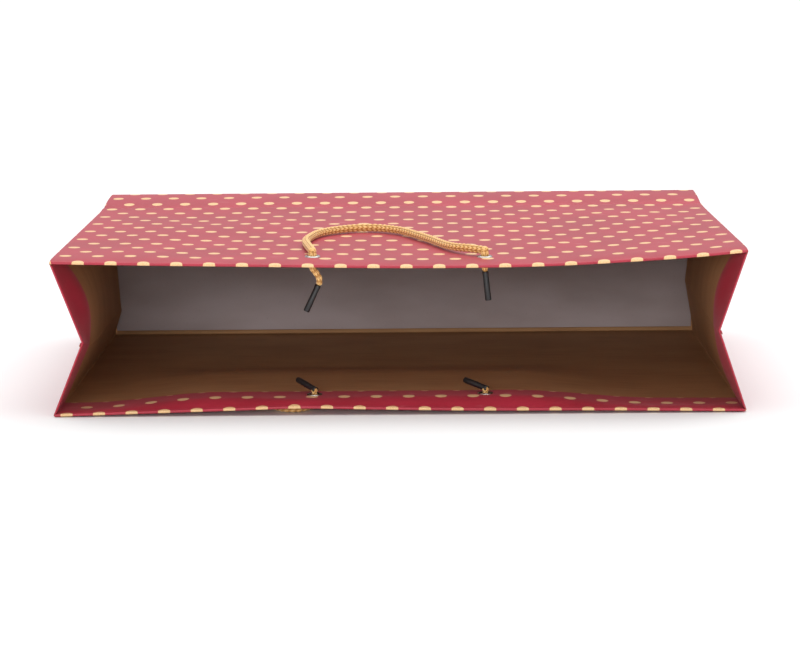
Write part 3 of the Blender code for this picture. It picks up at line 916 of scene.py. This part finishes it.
# How high the middle crease runs, and how far in, from the mouth to the base
CREASE_HEIGHTS = {
    LEFT: (
        (-0.1512, 0.0434), (-0.106, 0.0350), (-0.037, 0.0292), (0.036, 0.0262),
        (0.105, 0.0215), (0.1488, 0.0180),
    ),
    RIGHT: ((-0.1512, 0.0475), (-0.060, 0.0432), (0.050, 0.0390), (0.1488, 0.0365)),
}
CREASE_INSETS = {
    LEFT: ((-0.1512, 0.0174), (0.0, 0.0112), (0.1390, 0.0056), (0.1435, 0.0012), (0.1488, 0.0006)),
    RIGHT: ((-0.1512, 0.0156), (0.0, 0.0106), (0.1390, 0.0062), (0.1435, 0.0012), (0.1488, 0.0006)),
}
# How far each half bulges into the bag beyond the hem
BELLIES = {
    (LEFT, "upper"): 0.0075, (LEFT, "lower"): 0.0, (RIGHT, "upper"): 0.0050,
    (RIGHT, "lower"): 0.0027,
}
GUSSET_STACK = 0.0013
# How far the upper half laps over the lower one, as a share of its height
TUCK, TUCK_WIDEST = 0.045, 0.130


def straight(knots, place):
    """The value at a place on the broken line through (place, value) knots."""
    for (a, low), (b, high) in zip(knots, knots[1:]):
        if place <= b:
            return low + (high - low) * max(0.0, place - a) / (b - a)
    return knots[-1][1]


def top_edge(side, y):
    """The height at which a gusset meets the front panel or the strip."""
    if y <= CREASE_Y:
        v = PANEL - (CREASE_Y - y) / math.cos(PANEL_ANGLE)
        surface = panel_point(side * HALF, v, front_height(side * HALF, v)).z
    else:
        surface = CREASE_Z + (TOP_Z - CREASE_Z) * (y - CREASE_Y) / (BASE_Y - CREASE_Y)
    return surface - SIDE_RADIUS


def gusset_point(side, half, t, y, depth):
    """A point on a gusset's printed face, or this deep inside it.

    t goes from 0 at the side fold to 1 at the middle crease, and beyond 1 it goes back
    along the other half, just outside it.
    """
    height, inset = profile(CREASE_HEIGHTS[side], y), straight(CREASE_INSETS[side], y)
    edge = SIDE_RADIUS + max(0.0, back_lift(side * HALF, y - MOUTH_Y))
    if half == "upper":
        edge = top_edge(side, y)
    swell = smooth_step((y - MOUTH_Y) / HEM) * smooth_step((0.120 - y) / 0.22)
    if t <= 1.0:
        z = edge + (height - edge) * t
        x_in = inset * t + BELLIES[side, half] * math.sin(math.pi * t) * swell
    else:
        past = (t - 1.0) * abs(height - edge)
        z = height - past
        x_in = inset * (1 - past / height) - 0.0008
    return Vector((side * (HALF - x_in - depth), y, z))


def make_gusset_half(side, half, printed, brown):
    """One half of a side gusset with its hem, from the mouth to the crease line or the base."""
    word = "left" if side == LEFT else "right"
    arc = GUSSET_FOLD_RADIUS * HALF_TURN
    end = BASE_Y - MOUTH_Y if half == "lower" else CREASE_Y - MOUTH_Y + 0.0008
    rows = steps(-HEM, -0.004, 8) + steps(-arc, arc, 8) + steps(0.003, 0.276, 70)
    rows = [s for s in rows if s < end - 0.001]
    rows += [end - 0.0005] if half == "upper" else steps(0.2800, end - 0.0001, 10)
    shares = [t * t * (3 - 2 * t) * 0.3 + t * 0.7 for t in steps(0.0, 1.0, 18)]
    grid, flat = [], []
    for s in rows:
        v, depth = mouth_fold(s, GUSSET_FOLD_RADIUS, GUSSET_STACK)
        y = MOUTH_Y + v
        inner = min(1.0, depth / (2 * GUSSET_FOLD_RADIUS))
        wide = smooth_step((y - MOUTH_Y) / 0.2) * smooth_step((CREASE_Y - y) / 0.025)
        tuck = TUCK + (TUCK_WIDEST - TUCK) * wide
        line = [t * (1 - 0.03 * inner) + 0.03 * inner for t in shares]
        if half == "upper":
            line += [t * (1 - inner) + line[-1] * inner for t in (1.001, 1 + tuck / 2, 1 + tuck)]
        if (side == LEFT) == (half == "lower"):
            line.reverse()
        grid.append([gusset_point(side, half, t, y, depth) for t in line])
        flat.append([(0.05 * t * (1 if half == "lower" else -1), s) for t in line])
    made = paper(f"{word}_gusset_{half}", grid, flat, printed, brown)
    body = f"{word}_gusset_back" if half == "lower" else f"{word}_gusset_front"
    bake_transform(made)
    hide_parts(body, body + "_hem")


def make_gusset_corner(side, printed, brown):
    """The gusset's upper half beside the strip, the part that the strip's turning would bend; it is
    built as one fixed piece.
    """
    word = "left" if side == LEFT else "right"
    rows = steps(CREASE_Y - 0.0004, 0.1360, 14) + steps(0.1380, BASE_Y - 0.0001, 10)
    shares = steps(0.0, 1.0, 24)
    if side == RIGHT:
        shares.reverse()
    grid = [[gusset_point(side, "upper", t, y, 0.0) for t in shares] for y in rows]
    flat = [[(-0.05 * t, y - MOUTH_Y) for t in shares] for y in rows]
    made = paper(f"{word}_gusset_corner", grid, flat, printed, brown)
    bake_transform(made)
    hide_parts(f"{word}_base_fold")


# The base

BOARD_Y = 0.1443
BOARD_THICK = 0.0015
BOARD_WAVE = 0.0004
BOARD_HALF = 0.1978
BOARD_Z = (0.0042, 0.0945)
SIDE_FLAP_Y = 0.1496
SIDE_FLAP_REACH = 0.0470
SIDE_FLAP_CLEAR = 0.0020  # from the base's long edges


def make_board(board):
    """The loose card over the base's folds, bowed a little."""
    lines, rows = steps(-BOARD_HALF, BOARD_HALF, 60), steps(*BOARD_Z, 24)
    grid = [
        [Vector((x, BOARD_Y - BOARD_WAVE + wave(x, z, 21.0, BOARD_WAVE), z)) for x in lines]
        for z in rows
    ]
    for row in grid:
        row.reverse()
    flat = [[(x, z) for x in reversed(lines)] for z in rows]
    made = paper("base_board", grid, flat, board, board, BOARD_THICK)
    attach(made, "root")
    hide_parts("base_card")


def make_side_flap(side, printed, brown):
    """A corner flap of the base, folded in before the two long ones."""
    word = "left" if side == LEFT else "right"
    rows = steps(SIDE_FLAP_CLEAR, TOP_Z - SIDE_FLAP_CLEAR, 16)
    grid, flat = [], []
    for z in rows:
        reach = min(SIDE_FLAP_REACH, 0.013 + 1.05 * min(z, TOP_Z - z))
        lines = [side * (HALF - 0.0004 - reach * k / 8) for k in range(9)]
        if side == RIGHT:
            lines.reverse()
        grid.append([Vector((x, SIDE_FLAP_Y, z)) for x in lines])
        flat.append([(x, z) for x in lines])
    made = paper(f"{word}_base_corner_flap", grid, flat, printed, brown)
    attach(made, "root")
    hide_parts(f"base_side_flap_{word}")


# Eyelets

FLANGE = (
    (0.0026, -0.0016), (0.0026, 0.0004), (0.0029, 0.0007), (0.0035, 0.0008), (0.0041, 0.0006),
    (0.0045, 0.0002), (0.0046, 0.0), (0.0032, 0.0), (0.0032, -0.0016),
)
WASHER = (
    (0.0030, 0.0), (0.0029, 0.0005), (0.0032, 0.0008), (0.0038, 0.0007), (0.0044, 0.0004),
    (0.0046, 0.0),
)


def make_eyelets(metal):
    for word, x in (("left", -EYELET_X), ("right", EYELET_X)):
        out = panel_point(0, 0, 1.0) - panel_point(0, 0, 0.0)
        height = front_height(x, EYELET_V)
        low = back_lift(x, EYELET_V)
        under = Vector((x, MOUTH_Y + EYELET_V, low))
        stack = Vector((0.0, 0.0, HEM_STACK))
        made = (
            ("front", "eyelet", FLANGE, panel_point(x, EYELET_V, height), out),
            ("front", "washer", WASHER, panel_point(x, EYELET_V, height - stack.z), -out),
            ("back", "eyelet", FLANGE, under, Vector((0.0, 0.0, -1.0))),
            ("back", "washer", WASHER, under + stack, Vector((0.0, 0.0, 1.0))),
        )
        for wall, kind, outline, place, axis in made:
            ring = turned(f"{wall}_{kind}_{word}_ring", outline, place, axis, metal)
            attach(ring, "front_panel" if wall == "front" else "root")
            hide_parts(f"{wall}_{kind}_{word}")


# Surroundings


def make_floor():
    size = 30.0
    verts = [(-size, -size, 0.0), (size, -size, 0.0), (size, size, 0.0), (-size, size, 0.0)]
    made_of, _, shader = new_material("pale_floor", 0.9, Specular_IOR_Level=0.1)
    shader.inputs["Base Color"].default_value = (0.88, 0.88, 0.88, 1.0)
    floor = add_mesh("floor", verts, [(0, 1, 2, 3)], (made_of,))
    floor.location.z = -0.0002


def make_light():
    world = bpy.data.worlds.new("studio")
    bpy.context.scene.world = world
    world.use_nodes = True
    background = world.node_tree.nodes["Background"]
    background.inputs["Color"].default_value = (1.0, 1.0, 1.0, 1.0)
    background.inputs["Strength"].default_value = 0.58
    sun = bpy.data.objects.new("overhead", bpy.data.lights.new("overhead", "SUN"))
    sun.data.energy = 2.3
    sun.data.angle = math.radians(80)
    sun.rotation_euler = (math.radians(-10), math.radians(6), 0.0)
    bpy.context.scene.collection.objects.link(sun)
    # a broad low light beside the camera, which reaches in through the mouth
    fill = bpy.data.objects.new("front_fill", bpy.data.lights.new("front_fill", "AREA"))
    fill.data.shape = "RECTANGLE"
    fill.data.size = 1.1
    fill.data.size_y = 0.35
    fill.data.energy = 19.0
    fill.location = (-0.30, -2.55, 0.52)
    towards = Vector((0.0, 0.0, 0.04)) - fill.location
    fill.rotation_euler = towards.to_track_quat("-Z", "Y").to_euler()
    bpy.context.scene.collection.objects.link(fill)
    bpy.context.scene.view_settings.view_transform = "Standard"


def main():
    make_camera()
    yarn = knitted_yarn()
    make_cords(yarn, black_plastic())
    brown = kraft()
    dotted_back = printed_paper("printed_paper_back", BACK_PHASE)
    dotted_front = printed_paper("printed_paper_front", FRONT_PHASE)
    plain = printed_paper("printed_paper_plain")
    board = grey_board()
    make_back_wall(dotted_back, brown)
    crease = make_front_wall(dotted_front, brown)
    make_strip(dotted_front, brown, crease)
    make_hem_cards(board)
    for side in (LEFT, RIGHT):
        make_gusset_half(side, "lower", plain, brown)
        make_gusset_half(side, "upper", plain, brown)
        make_gusset_corner(side, plain, brown)
        make_side_flap(side, plain, brown)
    make_board(board)
    make_eyelets(nickel())
    make_floor()
    make_light()


main()
